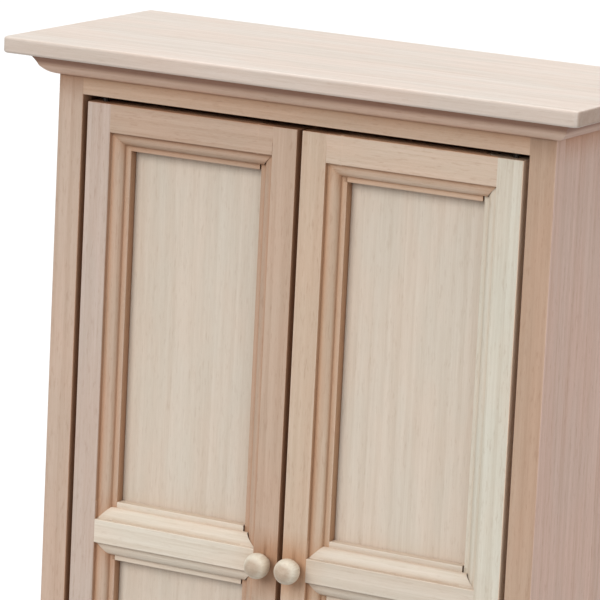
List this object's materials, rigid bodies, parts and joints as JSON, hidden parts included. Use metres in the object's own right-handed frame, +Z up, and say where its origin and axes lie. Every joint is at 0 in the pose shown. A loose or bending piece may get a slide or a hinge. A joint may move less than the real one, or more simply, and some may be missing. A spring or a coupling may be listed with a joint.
{
  "type": "miniature wardrobe",
  "caption": "Bare-wood dolls' house wardrobe with framed and panelled hinged doors, turned knobs, an overhanging top on a rounded cornice, a hat shelf and a hanging rail.",
  "frame": {"origin": "under the middle of the top board's footprint, on the surface the wardrobe stands on", "axes": "+X to the right across the front, +Y from the doors to the back panel, +Z up"},
  "size_m": [0.1126, 0.0492, 0.176],
  "materials": {
    "wood_pale": "bare, sanded, unfinished",
    "wood_cream": "bare, sanded, unfinished",
    "wood_tan": "bare, sanded, unfinished",
    "wood_rosy": "bare, sanded, unfinished",
    "wood_panel": "bare, sanded, unfinished",
    "wood_inside": "bare, lightly sanded, unfinished",
    "wood_turned": "bare, turned smooth, unfinished",
    "pin_steel": "drawn wire, dull"
  },
  "bodies": {
    "case": {"top_board": "wood_pale", "cornice_front": "wood_tan", "cornice_left": "wood_tan", "cornice_right": "wood_rosy", "side_panel_left": "wood_rosy", "side_panel_right": "wood_rosy", "back_panel": "wood_inside", "floor_board": "wood_inside", "face_stile_left": "wood_tan", "face_stile_right": "wood_tan", "face_rail_top": "wood_tan", "face_rail_bottom": "wood_tan", "plinth_front": "wood_tan", "plinth_left": "wood_tan", "plinth_right": "wood_rosy", "hat_shelf": "wood_inside", "shelf_cleat_left": "wood_inside", "shelf_cleat_right": "wood_inside", "hanging_rail": "wood_turned", "rail_socket_left": "wood_turned", "rail_socket_right": "wood_turned", "door_stop": "wood_inside"},
    "left_door": {"left_door_hinge_stile": "wood_tan", "left_door_meeting_stile": "wood_tan", "left_door_top_rail": "wood_tan", "left_door_mid_rail": "wood_cream", "left_door_bottom_rail": "wood_tan", "left_door_upper_panel": "wood_panel", "left_door_lower_panel": "wood_panel", "left_door_knob": "wood_turned", "left_door_top_pin": "pin_steel", "left_door_bottom_pin": "pin_steel"},
    "right_door": {"right_door_hinge_stile": "wood_cream", "right_door_meeting_stile": "wood_tan", "right_door_top_rail": "wood_tan", "right_door_mid_rail": "wood_cream", "right_door_bottom_rail": "wood_tan", "right_door_upper_panel": "wood_panel", "right_door_lower_panel": "wood_panel", "right_door_knob": "wood_turned", "right_door_top_pin": "pin_steel", "right_door_bottom_pin": "pin_steel"}
  },
  "joints": [
    {"name": "left_door_hinge", "type": "hinge", "parent": "case", "child": "left_door", "pos_m": [-0.04057, -0.0145, 0.0884], "axis": [0, 0, -1], "range_deg": [0, 110]},
    {"name": "right_door_hinge", "type": "hinge", "parent": "case", "child": "right_door", "pos_m": [0.04057, -0.0145, 0.0884], "axis": [0, 0, 1], "range_deg": [0, 110]}
  ]
}
